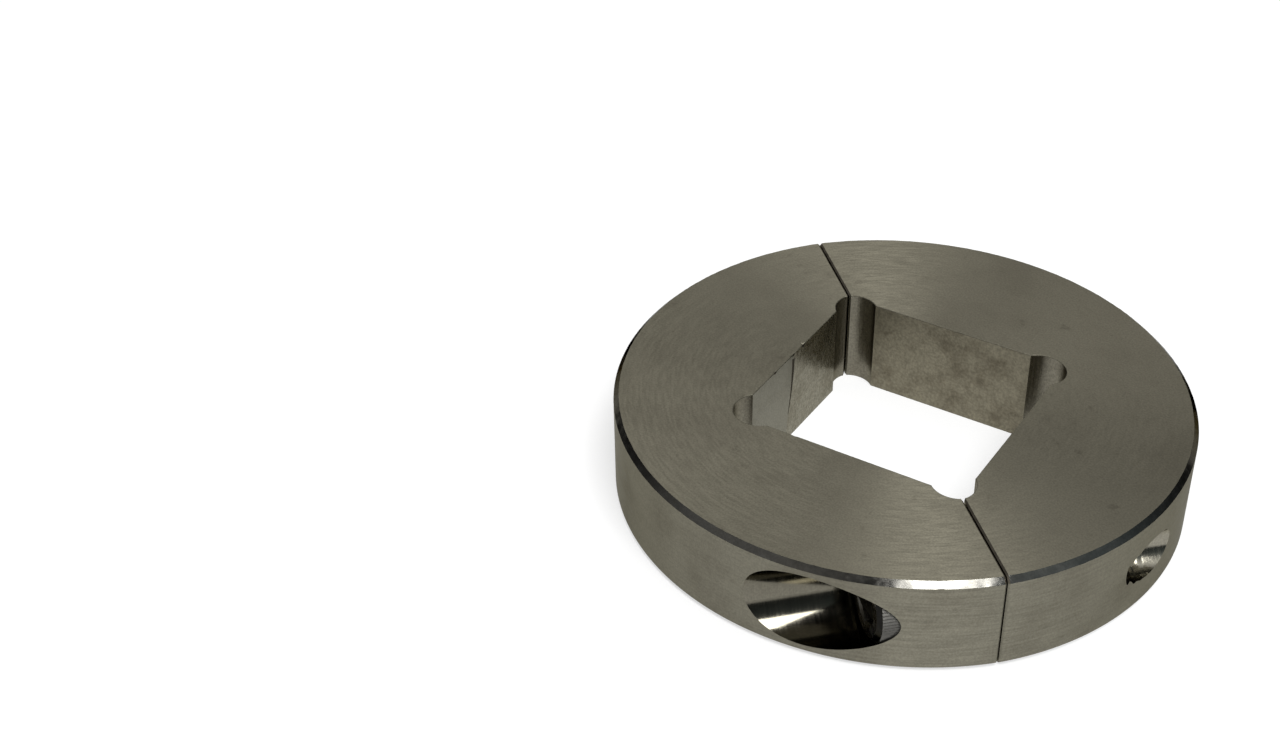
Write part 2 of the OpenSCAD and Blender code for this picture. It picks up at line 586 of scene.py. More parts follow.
FINISHES: dict[Surface, Finish] = {
    Surface.FACED: Finish(
        Marks.RINGS, roughness=0.44, roughness_swing=0.065, anisotropy=0.75, mark_length=3.2,
        mark_spacing=0.36, tone_swing=0.06, mark_depth=0.003,
    ),
    Surface.TURNED: Finish(
        Marks.RINGS, colour=(0.208, 0.197, 0.155), roughness=0.42, anisotropy=0.8, mean_radius=44.0,
        mark_length=8.0, mark_spacing=0.6, tone_swing=0.13, mottle=0.45, mottle_size=8.0,
    ),
    # Painted shade: the chamfer's dark edge tint dims its glancing reflection, so that its far side reads
    # dark
    Surface.CHAMFERED: Finish(
        Marks.RINGS, colour=(0.17, 0.165, 0.15), roughness=0.14, mean_radius=44.0, mottle=0.4,
        mark_length=2.2, mark_spacing=0.8, mark_depth=0.006, edge_tint=(0.12, 0.115, 0.105),
    ),
    Surface.SQUARED: Finish(
        Marks.BORE_LINES, colour=(0.205, 0.188, 0.138), stain=(0.085, 0.07, 0.048), roughness=0.45,
        mark_length=1.1, mark_spacing=0.5, tone_swing=0.12, grain_size=0.45, grain_swing=0.18,
        mottle=0.6, mottle_size=4.0, smudge_size=2.0, speck=0.6,
    ),
    Surface.RUBBED: Finish(
        Marks.BORE_LINES, colour=(0.26, 0.252, 0.212), roughness=0.5, mark_length=3.0, mark_spacing=0.5,
        mottle=0.3, mottle_size=5.0,
    ),
    Surface.MOTTLED: Finish(
        Marks.BORE_LINES, colour=(0.26, 0.248, 0.206), stain=(0.15, 0.137, 0.105), roughness=0.27,
        mark_length=1.1, mark_spacing=0.5, grain_size=0.45, grain_swing=0.2, mottle=0.6, mottle_size=3.5,
        speck=0.6,
    ),
    Surface.RELIEVED: Finish(
        Marks.BORE_LINES, colour=(0.175, 0.163, 0.128), roughness=0.32, mark_length=6.0, mark_spacing=0.3,
        grain_swing=0.2, mottle=0.4, mottle_size=3.0,
    ),
    Surface.COUNTERBORED: Finish(
        Marks.HOLE_RINGS, colour=(0.155, 0.145, 0.115), roughness=0.13, mark_length=9.0, mark_spacing=0.12,
        mark_depth=0.0008, mottle=0.2, tone_swing=0.08, roughness_swing=0.04, smudge=0.2,
    ),
    Surface.TAPPED: Finish(
        Marks.HOLE_RINGS, colour=(0.25, 0.236, 0.192), roughness=0.18, roughness_swing=0.04, mark_length=4.0,
        mark_spacing=0.2, mark_depth=0.004,
    ),
    # The gouge and the nicked faces of the bore's edges get near-black steel, much darker than the wall
    # round them
    Surface.GOUGED: Finish(Marks.BORE_LINES, colour=(0.055, 0.048, 0.038), roughness=0.5),
    Surface.SAWN: Finish(
        Marks.SAW_LINES, roughness=0.42, mark_length=9.0, mark_spacing=0.35, mark_depth=0.012,
    ),
    Surface.BROKEN_EDGE: Finish(Marks.BORE_LINES, roughness=0.5, mottle=0.3),
    Surface.SEAM_EDGE: Finish(Marks.SAW_LINES, colour=(0.2, 0.18, 0.145), roughness=0.45, mottle=0.3),
    Surface.HEAD_END: Finish(Marks.HOLE_RINGS, colour=(0.3, 0.29, 0.26), roughness=0.25, mark_length=2.0),
    # Painted shade: near-black colour on the screw head's chamfer stands in for the shade it sits in within
    # the counterbore
    Surface.HEAD_CHAMFER: Finish(
        Marks.HOLE_RINGS, colour=(0.014, 0.0135, 0.0125), roughness=0.2, roughness_swing=0.03,
        mark_length=2.0,
    ),
    Surface.KNURLED: Finish(Marks.HOLE_RINGS, colour=(0.15, 0.146, 0.135), roughness=0.62, mark_length=2.0),
    Surface.BROACHED: Finish(Marks.HOLE_RINGS, colour=(0.22, 0.21, 0.18), roughness=0.3, mark_length=2.0),
    Surface.ROLLED: Finish(Marks.HOLE_RINGS, colour=(0.3, 0.29, 0.26), roughness=0.28, mark_length=3.0),
}


class SteelRack:
    """Keeps one material for each surface."""

    def __init__(self) -> None:
        """Starts with no material made."""
        self.made: dict[Surface, bpy.types.Material] = {}

    def dress(self, piece: bpy.types.Object, surface_at: Callable[[Vector, Vector], Surface]) -> None:
        """Gives every face of a piece the finish of its surface.

        Args:
            piece: The piece to dress.
            surface_at: Names the surface from a face's centre and normal.
        """
        piece.data.materials.clear()
        slots: dict[Surface, int] = {}
        for face in piece.data.polygons:
            surface = surface_at(face.center, face.normal)
            if surface not in slots:
                slots[surface] = len(slots)
                piece.data.materials.append(self.steel(surface))
            face.material_index = slots[surface]

    def steel(self, surface: Surface) -> bpy.types.Material:
        """The material of one surface, made when it is first asked for.

        Args:
            surface: The surface.

        Returns:
            Its material.
        """
        if surface not in self.made:
            self.made[surface] = FINISHES[surface].material(surface.value)
        return self.made[surface]


@dataclass(frozen=True)
class Thread:
    """A right-hand sixty degree thread about Z. Lengths are in millimetres."""

    pitch: float = 25.4 / 18
    root_radius: float = 3.27
    crest_radius: float = 3.92
    flank_angle: float = math.radians(30)
    facets: int = 56

    def rod(self, low: float, high: float, ease: float) -> bpy.types.Object:
        """A threaded rod between two heights, in step with every other rod.

        Args:
            low: Height of its lower end.
            high: Height of its upper end.
            ease: How much the ridge stands out beyond the screw's own, for a cutter.

        Returns:
            The closed rod, lying along world Z.
        """
        first_turn = math.floor(low / self.pitch) - 1
        turns = math.ceil(high / self.pitch) + 1 - first_turn
        crest = self.crest_radius + ease
        run = (crest - self.root_radius) * math.tan(self.flank_angle)
        crest_flat = self.pitch / 8 + 2 * ease
        half_root = (self.pitch - crest_flat) / 2 - run
        steps = [(0.0, half_root), (crest - self.root_radius, run), (0.0, crest_flat),
                 (self.root_radius - crest, run), (0.0, half_root)]
        clear_bench()
        bpy.ops.mesh.primitive_plane_add(size=self.pitch)
        rod = bpy.context.object
        with editing(rod, Pick.POINTS):
            bpy.ops.mesh.select_all(action="SELECT")
            bpy.ops.mesh.merge(type="CENTER")
            bpy.ops.transform.translate(value=(self.root_radius, 0.0, first_turn * self.pitch))
            for out, rise in steps:
                bpy.ops.mesh.extrude_region_move(TRANSFORM_OT_translate={"value": (out, 0.0, rise)})
        wind = rod.modifiers.new("wind", "SCREW")
        wind.axis = "Z"
        wind.angle = math.tau
        wind.screw_offset = self.pitch
        wind.iterations = turns
        wind.steps = self.facets
        wind.render_steps = self.facets
        wind.use_merge_vertices = True
        wind.merge_threshold = MERGE
        take_up(rod)
        bpy.ops.object.modifier_apply(modifier=wind.name)
        with editing(rod, Pick.FACES):
            bpy.ops.mesh.select_all(action="SELECT")
            bpy.ops.mesh.remove_doubles(threshold=MERGE)
            for height, keep_above in ((low, True), (high, False)):
                bpy.ops.mesh.select_all(action="SELECT")
                bpy.ops.mesh.bisect(
                    plane_co=(0.0, 0.0, height),
                    plane_no=(0.0, 0.0, 1.0),
                    use_fill=True,
                    clear_inner=keep_above,
                    clear_outer=not keep_above,
                    threshold=MERGE,
                )
            bpy.ops.mesh.select_all(action="SELECT")
            bpy.ops.mesh.normals_make_consistent(inside=False)
        return rod

    @staticmethod
    def limit(rod: bpy.types.Object, most: Callable[[float], float]) -> None:
        """Draws a rod in to a radius that depends on the height, for a chamfered tip or a run-out.

        Args:
            rod: The rod, lying along world Z.
            most: The greatest radius allowed at a height.
        """
        for point in rod.data.vertices:
            radius = math.hypot(point.co.x, point.co.y)
            allowed = most(point.co.z)
            if radius > allowed:
                point.co.x *= allowed / radius
                point.co.y *= allowed / radius


@dataclass(frozen=True)
class Nick:
    """A dent in an edge, at a point along it, with a width and a depth in millimetres."""

    at: float
    width: float
    depth: float

    def depth_at(self, along: float) -> float:
        """Depth of the dent at a point along the edge."""
        return self.depth * math.exp(-(((along - self.at) / self.width) ** 2))


@dataclass(frozen=True)
class Gouge:
    """A groove up a bore wall, scored by a tapered round whose axis runs from a foot to a mouth.

    Lengths are in millimetres, and the slack at both ends is a share of the length.
    """

    foot: Vector
    mouth: Vector
    foot_radius: float
    mouth_radius: float
    bow: float = 0.3
    slack: float = 0.01
    steps: int = 10
    facets: int = 24

    @property
    def direction(self) -> Vector:
        """Unit vector up the groove."""
        return (self.mouth - self.foot).normalized()

    @property
    def across(self) -> Vector:
        """Unit vector across the groove, along the wall."""
        return self.direction.cross(Vector((1.0, 0.0, 0.0))).normalized()

    @property
    def length(self) -> float:
        """Length of the groove."""
        return (self.mouth - self.foot).length

    def tool(self) -> bpy.types.Object:
        """The tapered round that scores it, bowed along the wall.

        Returns:
            The round, in its place.
        """
        shares = [step / self.steps for step in range(self.steps + 1)]
        taper = self.mouth_radius - self.foot_radius
        rings = [(share * self.length, self.foot_radius + share * taper) for share in shares]
        tool = turned(rings, self.facets)
        tool.data.transform(axis_frame(self.foot, self.direction))
        for point in tool.data.vertices:
            share = (point.co - self.foot).dot(self.direction) / self.length
            point.co += 4.0 * share * (1.0 - share) * self.bow * self.across
        return tool

    def holds(self, point: Vector) -> bool:
        """Whether a point lies within the groove's reach.

        Args:
            point: The point.

        Returns:
            True if it does.
        """
        reach = self.mouth_radius + self.bow
        share = (point - self.foot).dot(self.direction) / self.length
        beside = -self.slack < share < 1.0 + self.slack
        return beside and off_axis(point, self.foot, self.direction) < reach


@dataclass
class CollarHalf:
    """One half ring with its screw holes. Lengths are in millimetres, as on the part's drawing."""

    outward: Vector
    ring_radius: float = 44.438
    width: float = 15.875
    rim_chamfer: float = 0.8
    bore_side: float = 38.1
    relief_radius: float = 3.97
    saw_kerf: float = 1.6
    seam_gap: float = 0.2
    seam_break: float = 0.25
    bore_break: float = 0.13
    screw_inset: float = 8.638
    clamp_land: float = 8.7
    counterbore_radius: float = 6.25
    clearance_radius: float = 4.22
    tap_radius: float = 3.3
    tap_lead_in: float = 0.72
    tap_depth: float = 27.5
    tap_run_out: float = 9.0
    tap_ease: float = 0.05
    rim_facets: int = 540
    hole_facets: int = 128
    relief_facets: int = 96
    edge_steps: int = 56
    overcut: float = 2.0
    edge_waver: float = 0.05
    waver_rate: float = 1.1
    wear_swing: float = 0.45
    wear_rate: float = 1.7
    wear_side_step: float = 9.0
    wear_axis_step: float = 5.0
    chamfer_lean: float = 0.4
    dub_depth: float = 0.0
    dub_length: float = 3.2
    thread: Thread = field(default_factory=Thread)
    nicks: dict[str, list[Nick]] = field(default_factory=dict)
    rim_nicks: list[Nick] = field(default_factory=list)
    gouge: Gouge | None = None

    @property
    def tapped_side(self) -> Vector:
        """From the bore to the tapped hole, along the split."""
        return Vector((self.outward.y, -self.outward.x, 0.0))

    @property
    def closing(self) -> float:
        """How far the half has moved in to close the saw cut."""
        return (self.saw_kerf - self.seam_gap) / 2

    @property
    def split_face(self) -> float:
        """Distance of the split face from the bore's axis."""
        return self.seam_gap / 2

    @property
    def arc_centre(self) -> Vector:
        """Centre of the rim's arc, which has moved in with the half."""
        return -self.closing * self.outward

    @property
    def middle(self) -> Vector:
        """Half way up the ring, on the bore's axis."""
        return self.width / 2 * UP

    @property
    def relief_reach(self) -> float:
        """Distance of a relief's centre from each centre line of the square."""
        return self.bore_side / 2 - self.relief_radius / math.sqrt(2)

    @property
    def break_reach(self) -> float:
        """How far the broken edge of the bore reaches, with some room."""
        return 1.5 * self.bore_break

    @property
    def thread_reach(self) -> float:
        """How far the tapped thread reaches from its axis, with some room."""
        return self.thread.crest_radius + 4 * self.tap_ease

    @property
    def chamfer_reach(self) -> float:
        """Least radius of the rim's chamfer where it wavers or is dubbed."""
        return self.ring_radius - self.rim_chamfer - self.dub_depth - self.edge_waver

    def hole_start(self, tapped: bool) -> Vector:
        """Where a screw hole's axis crosses the plane of the split."""
        offset = self.ring_radius - self.screw_inset
        return self.middle + self.tapped_side * (offset if tapped else -offset)

    def turn_ring(self) -> bpy.types.Object:
        """The whole ring as turned, with both outer edges chamfered.

        Returns:
            The ring.
        """
        clear_bench()
        bpy.ops.mesh.primitive_cylinder_add(
            vertices=self.rim_facets, radius=self.ring_radius, depth=self.width, location=self.middle
        )
        ring = bpy.context.object
        set_in_mesh(ring)
        with editing(ring, Pick.EDGES):
            pick_edges(ring, lambda a, b: abs(a.z - b.z) < NEAR)
            bpy.ops.mesh.bevel(offset=self.rim_chamfer, segments=2, profile=STRAIGHT, affect="EDGES")
        return ring

    def bore_square(self, ring: bpy.types.Object) -> None:
        """Cuts the square bore and the drilled relief in each corner.

        Args:
            ring: The turned ring.
        """
        clear_bench()
        bpy.ops.mesh.primitive_cube_add(
            size=1.0, location=self.middle, scale=(self.bore_side, self.bore_side, 2 * self.width)
        )
        carve(ring, bpy.context.object, Joining.CUT)
        reach = self.relief_reach
        drill = [(-self.overcut, self.relief_radius), (self.width + self.overcut, self.relief_radius)]
        for along_x in (-reach, reach):
            for along_y in (-reach, reach):
                tool = turned(drill, self.relief_facets)
                tool.data.transform(Matrix.Translation((along_x, along_y, 0.0)))
                carve(ring, tool, Joining.CUT)

    def split(self, ring: bpy.types.Object) -> None:
        """Saws the other half away, breaks the split's edges and closes the half up to the seam.

        Args:
            ring: The bored ring.
        """
        cut = self.saw_kerf / 2
        with editing(ring, Pick.FACES):
            bpy.ops.mesh.select_all(action="SELECT")
            bpy.ops.mesh.bisect(
                plane_co=self.outward * cut,
                plane_no=self.outward,
                use_fill=True,
                clear_inner=True,
                threshold=MERGE,
            )
        with editing(ring, Pick.EDGES):
            pick_edges(ring, lambda a, b: self.on_seam_outline(a, b, cut))
            bpy.ops.mesh.bevel(offset=self.seam_break, segments=1, affect="EDGES")
        ring.data.transform(Matrix.Translation(self.arc_centre))

    def on_seam_outline(self, a: Vector, b: Vector, cut: float) -> bool:
        """Whether an edge runs round a split face on the outside, not down the bore.

        Args:
            a: One end of the edge.
            b: The other end.
            cut: Distance of the split face from the bore's axis as sawn.

        Returns:
            True if it does.
        """
        if any(abs(point.dot(self.outward) - cut) > NEAR for point in (a, b)):
            return False
        flat = all(min(abs(p.z), abs(p.z - self.width)) < NEAR for p in (a, b))
        rim = self.ring_radius - self.rim_chamfer - NEAR
        return flat or all(math.hypot(p.x, p.y) > rim for p in (a, b))

    def break_edges(self, half: bpy.types.Object) -> None:
        """Takes the sharp edge off both ends of the bore, in short steps that can be nicked.

        Args:
            half: The half as split.
        """
        with editing(half, Pick.EDGES):
            step_edges(half, self.on_flat_end, self.edge_steps)
        with editing(half, Pick.EDGES):
            pick_edges(half, self.on_bore_end)
            bpy.ops.mesh.bevel(offset=self.bore_break, segments=2, affect="EDGES")

    def on_flat_end(self, a: Vector, b: Vector) -> bool:
        """Whether an edge runs along a whole flat of the bore on the top or bottom face."""
        return self.on_bore_end(a, b) and (a - b).length > self.relief_radius

    def on_bore_end(self, a: Vector, b: Vector) -> bool:
        """Whether an edge runs round the bore on the top or bottom face.

        Args:
            a: One end of the edge.
            b: The other end.

        Returns:
            True if it does.
        """
        flat = all(abs(p.z) < NEAR for p in (a, b)) or all(abs(p.z - self.width) < NEAR for p in (a, b))
        clear = self.split_face + self.seam_break + NEAR
        return (
            flat
            and all(self.in_bore_wall(p) for p in (a, b))
            and any(p.dot(self.outward) > clear for p in (a, b))
        )

    def in_bore_wall(self, point: Vector) -> bool:
        """Whether a point lies on a flat of the square or on a relief.

        Args:
            point: The point.

        Returns:
            True if it does.
        """
        across = point - self.arc_centre
        wide, narrow = max(abs(across.x), abs(across.y)), min(abs(across.x), abs(across.y))
        if abs(wide - self.bore_side / 2) < NEAR and narrow < self.bore_side / 2:
            return True
        to_relief = math.hypot(abs(across.x) - self.relief_reach, abs(across.y) - self.relief_reach)
        return abs(to_relief - self.relief_radius) < NEAR_CURVE

    def drill(self, half: bpy.types.Object) -> None:
        """Drills the tapped hole, and the plain hole and counterbore for the other screw's head.

        Args:
            half: The half as split.
        """
        face, seat = self.split_face, self.split_face + self.clamp_land
        lead_in, beyond = self.tap_lead_in, self.ring_radius
        tap_drill = [(face - lead_in, self.tap_radius + 2 * lead_in), (face + lead_in, self.tap_radius),
                     (beyond, self.tap_radius)]
        step_drill = [(-self.overcut, self.clearance_radius), (seat, self.clearance_radius),
                      (seat, self.counterbore_radius), (beyond, self.counterbore_radius)]
        for tapped, rings in ((True, tap_drill), (False, step_drill)):
            tool = turned(rings, self.hole_facets)
            tool.data.transform(axis_frame(self.hole_start(tapped), self.outward))
            carve(half, tool, Joining.CUT)

    def tap(self, half: bpy.types.Object) -> None:
        """Cuts the thread from the split face outwards, running out before the rim.

        Args:
            half: The half as drilled.
        """
        rod = self.thread.rod(-self.tap_depth, self.overcut, self.tap_ease)
        depth = self.thread.crest_radius + self.tap_ease - self.tap_radius

        def most(height: float) -> float:
            """Radius of the cutter, falling off over the run-out."""
            share = min(1.0, max(0.0, (height + self.tap_depth) / self.tap_run_out)) ** 2
            return self.tap_radius - NEAR_CURVE + share * (depth + NEAR_CURVE)

        self.thread.limit(rod, most)
        rod.data.transform(axis_frame(self.hole_start(True), -self.outward))
        carve(half, rod, Joining.CUT)

    def make(self) -> bpy.types.Object:
        """Machines the half from the ring.

        Returns:
            The half, closed up to the seam.
        """
        half = self.turn_ring()
        self.bore_square(half)
        self.split(half)
        self.break_edges(half)
        self.drill(half)
        self.tap(half)
        trim_slivers(half)
        return half

    def score(self, half: bpy.types.Object) -> None:
        """Scores the gouge in the bore wall, and parts the rubbed stretch of the wall from the rest.

        Args:
            half: The half as machined.
        """
        if not self.gouge:
            return
        carve(half, self.gouge.tool(), Joining.CUT)
        with editing(half, Pick.FACES):
            pick_faces(half, lambda centre, normal: self.on_gouged_wall(centre))
            bpy.ops.mesh.bisect(
                plane_co=self.gouge.foot,
                plane_no=self.gouge.across,
                threshold=MERGE,
            )

    def on_gouged_wall(self, centre: Vector) -> bool:
        """Whether a face's centre lies on the flat of the bore that is gouged."""
        return self.gouge is not None and abs(centre.x - self.arc_centre.x + self.bore_side / 2) < NEAR_FLAT

    def wear_rim(self, half: bpy.types.Object) -> None:
        """Makes both edges of the top chamfer waver, dubs its corner at the seam and nicks its lower edge.

        Args:
            half: The half to wear.
        """
        crown, foot = self.ring_radius - self.rim_chamfer, self.width - self.rim_chamfer
        for point in half.data.vertices:
            across = point.co - self.arc_centre
            radius = math.hypot(across.x, across.y)
            cosine = across.dot(self.tapped_side) / radius
            from_seam = self.ring_radius * math.acos(max(-1.0, min(1.0, cosine)))
            spot = Vector((self.waver_rate * from_seam, point.co.z, self.outward.x))
            waver = self.edge_waver * noise.noise(spot)
            if abs(radius - crown) < NEAR and abs(point.co.z - self.width) < NEAR:
                dub = self.dub_depth * max(0.0, 1.0 - from_seam / self.dub_length)
                share = 1.0 + (waver - dub) / radius
                point.co.x = self.arc_centre.x + across.x * share
                point.co.y = self.arc_centre.y + across.y * share
            elif abs(radius - self.ring_radius) < NEAR and abs(point.co.z - foot) < NEAR:
                point.co.z += waver + sum(nick.depth_at(from_seam) for nick in self.rim_nicks)

    def wear(self, half: bpy.types.Object) -> None:
        """Makes the bore's edges uneven and nicks them, without moving the faces beside them.

        Args:
            half: The half to wear.
        """
        wall = self.bore_side / 2
        for point in half.data.vertices:
            across = point.co - self.arc_centre
            from_end = min(point.co.z, self.width - point.co.z)
            for axis, other in ((0, 1), (1, 0)):
                side = math.copysign(1.0, across[axis])
                into = side * across[axis] - wall
                if not (-NEAR < into < self.break_reach and from_end < self.break_reach):
                    continue
                if abs(across[other]) > self.relief_reach - self.relief_radius / 2:
                    continue
                along = point.co[other]
                level = self.wear_axis_step * axis + point.co.z
                spot = Vector((self.wear_rate * along, self.wear_side_step * side, level))
                worn = 1.0 + self.wear_swing * noise.noise(spot)
                if point.co.z > self.width / 2:
                    name = f"{'+' if side > 0 else '-'}{'xy'[axis]}"
                    worn += sum(nick.depth_at(along) for nick in self.nicks.get(name, [])) / self.bore_break
                point.co[axis] += side * into * (worn - 1.0)
                drop = from_end * (worn - 1.0)
                point.co.z += -drop if point.co.z > self.width / 2 else drop

    def surface_at(self, centre: Vector, normal: Vector) -> Surface:
        """Names the surface that a face belongs to.

        Args:
            centre: Centre of the face.
            normal: Normal of the face.

        Returns:
            The surface.
        """
        across = centre - self.arc_centre
        from_arc = math.hypot(across.x, across.y)
        facing_out = (normal.x * across.x + normal.y * across.y) / from_arc
        along = centre.dot(self.outward)
        into_seam = -normal.dot(self.outward)
        if min(centre.z, self.width - centre.z) < NEAR:
            return Surface.FACED
        if facing_out > SQUARE_ON and from_arc > self.ring_radius - 2 * NEAR:
            return Surface.TURNED
        if off_axis(centre, self.hole_start(True), self.outward) < self.thread_reach:
            return Surface.TAPPED
        if off_axis(centre, self.hole_start(False), self.outward) < self.counterbore_radius + NEAR:
            return Surface.COUNTERBORED
        if along < self.split_face + self.seam_break and into_seam > LEANING:
            if into_seam > SQUARE_ON:
                return Surface.SAWN
            return Surface.SEAM_EDGE if abs(normal.z) > LEANING else Surface.TURNED
        if from_arc > self.chamfer_reach and facing_out > self.chamfer_lean:
            return Surface.CHAMFERED
        # Deeper faces of the bore's broken edges, where they are nicked, get the gouge's near-black steel
        if abs(normal.z) > TILTED and not (self.gouge and self.gouge.holds(centre)):
            nicked = min(centre.z, self.width - centre.z) > self.break_reach
            return Surface.GOUGED if nicked else Surface.BROKEN_EDGE
        if self.gouge and self.gouge.holds(centre) and abs(normal.x) < FLAT_ON:
            return Surface.GOUGED
        if self.on_gouged_wall(centre):
            rubbed = (centre - self.gouge.foot).dot(self.gouge.across) < 0.0
            return Surface.RUBBED if rubbed else Surface.MOTTLED
        wide = max(abs(across.x), abs(across.y))
        return Surface.SQUARED if abs(wide - self.bore_side / 2) < NEAR_FLAT else Surface.RELIEVED


@dataclass
class ClampScrew:
    """Socket head cap screw along Z, with the bearing face of its head at zero. Lengths in millimetres."""

    head_radius: float = 5.95
    head_height: float = 7.94
    head_chamfer: float = 0.6
    head_break: float = 0.3
    plain_band: float = 1.6
    knurl_depth: float = 0.14
    knurl_ridges: int = 72
    socket_across: float = 6.35
    socket_depth: float = 4.1
    socket_chamfer: float = 0.3
    mouth_share: float = 1.2
    length: float = 25.4
    neck_radius: float = 3.1
    neck_length: float = 0.85
    tip_radius: float = 2.35
    overcut: float = 0.2
    thread: Thread = field(default_factory=Thread)

    def forge_head(self) -> bpy.types.Object:
        """The head and the start of the shank, drawn up ring by ring, with the knurl pressed in.

        Returns:
            The head, closed at both ends.
        """
        plain = self.head_radius - self.knurl_depth / 2
        core = self.head_radius - 2 * self.knurl_depth
        knurl_top = self.head_height - self.head_chamfer
        rings = [(-2 * self.neck_length, self.neck_radius), (0.0, self.neck_radius),
                 (0.0, plain - self.head_break), (self.head_break, plain), (self.plain_band, plain),
                 (self.plain_band, self.head_radius), (knurl_top, self.head_radius), (knurl_top, core),
                 (self.head_height, core - self.head_chamfer)]
        facets = 2 * self.knurl_ridges
        head = turned(rings, facets)
        groove = 1.0 - self.knurl_depth / self.head_radius
        for point in head.data.vertices:
            if math.hypot(point.co.x, point.co.y) > self.head_radius - NEAR:
                step = round(math.atan2(point.co.y, point.co.x) / math.tau * facets)
                if step % 2:
                    point.co.x *= groove
                    point.co.y *= groove
        return head

    def broach_socket(self, head: bpy.types.Object) -> None:
        """Sinks the hex socket, its chamfered mouth and the point of the drill that started it.

        Args:
            head: The forged head.
        """
        top, floor = self.head_height, self.head_height - self.socket_depth
        half, over = self.socket_across / 2, self.overcut
        corner = half / math.cos(math.radians(30))
        point = floor - half * math.tan(math.radians(30))
        widest = half + (self.socket_chamfer + over) * math.sqrt(3)
        for rings, facets in (
            ([(floor, corner), (top + over, corner)], 6),
            ([(point, NEAR), (floor + over, half + over * math.sqrt(3))], 2 * self.knurl_ridges),
            ([(top - self.socket_chamfer, half), (top + over, widest)], 2 * self.knurl_ridges),
        ):
            carve(head, turned(rings, facets), Joining.CUT)

    def make(self, seat: float) -> bpy.types.Object:
        """Builds the screw with its bearing face at a height that puts its thread in step.

        Args:
            seat: Height of the bearing face.

        Returns:
            The screw, standing on world Z.
        """
        screw = self.forge_head()
        self.broach_socket(screw)
        screw.data.transform(Matrix.Translation(seat * UP))
        tip, collar = seat - self.length, seat - self.neck_length
        shank = self.thread.rod(tip, collar, 0.0)
        self.thread.limit(shank, lambda height: self.tip_radius + max(0.0, height - tip))
        self.thread.limit(shank, lambda height: self.thread.root_radius + max(0.0, collar - height))
        carve(screw, shank, Joining.ADD)
        return screw

    def surface_at(self, centre: Vector, normal: Vector, seat: float) -> Surface:
        """Names the surface of the standing screw that a face belongs to.

        Args:
            centre: Centre of the face.
            normal: Normal of the face.
            seat: Height of the bearing face.

        Returns:
            The surface.
        """
        radius = math.hypot(centre.x, centre.y)
        height = centre.z - seat
        if height < 0.0:
            return Surface.ROLLED
        if radius < self.socket_across / 2 * self.mouth_share and height < self.head_height - NEAR:
            return Surface.BROACHED
        if abs(normal.z) < LEANING:
            return Surface.KNURLED
        # The sloping faces of the head are its chamfer, which carries painted shade
        return Surface.HEAD_END if abs(normal.z) > SQUARE_ON else Surface.HEAD_CHAMFER


@dataclass(frozen=True)
class Panel:
    """A large soft panel far off, in a direction given in degrees from X and above the floor."""

    azimuth: float
    height: float
    level: float
    sharpness: float = 14.0
    tint: Colour = (1.0, 1.0, 1.0)

    def light(self, bench: NodeBench, where: Socket) -> Socket:
        """Light of the panel in a direction.

        Args:
            bench: The sky's nodes.
            where: The direction.

        Returns:
            The light as a colour.
        """
        middle = toward(math.radians(self.azimuth), math.radians(self.height))
        facing = bench.work("MAXIMUM", bench.along(where, middle), 0.0)
        level = bench.work("MULTIPLY", bench.work("POWER", facing, self.sharpness), self.level)
        return bench.tinted(self.tint, level)


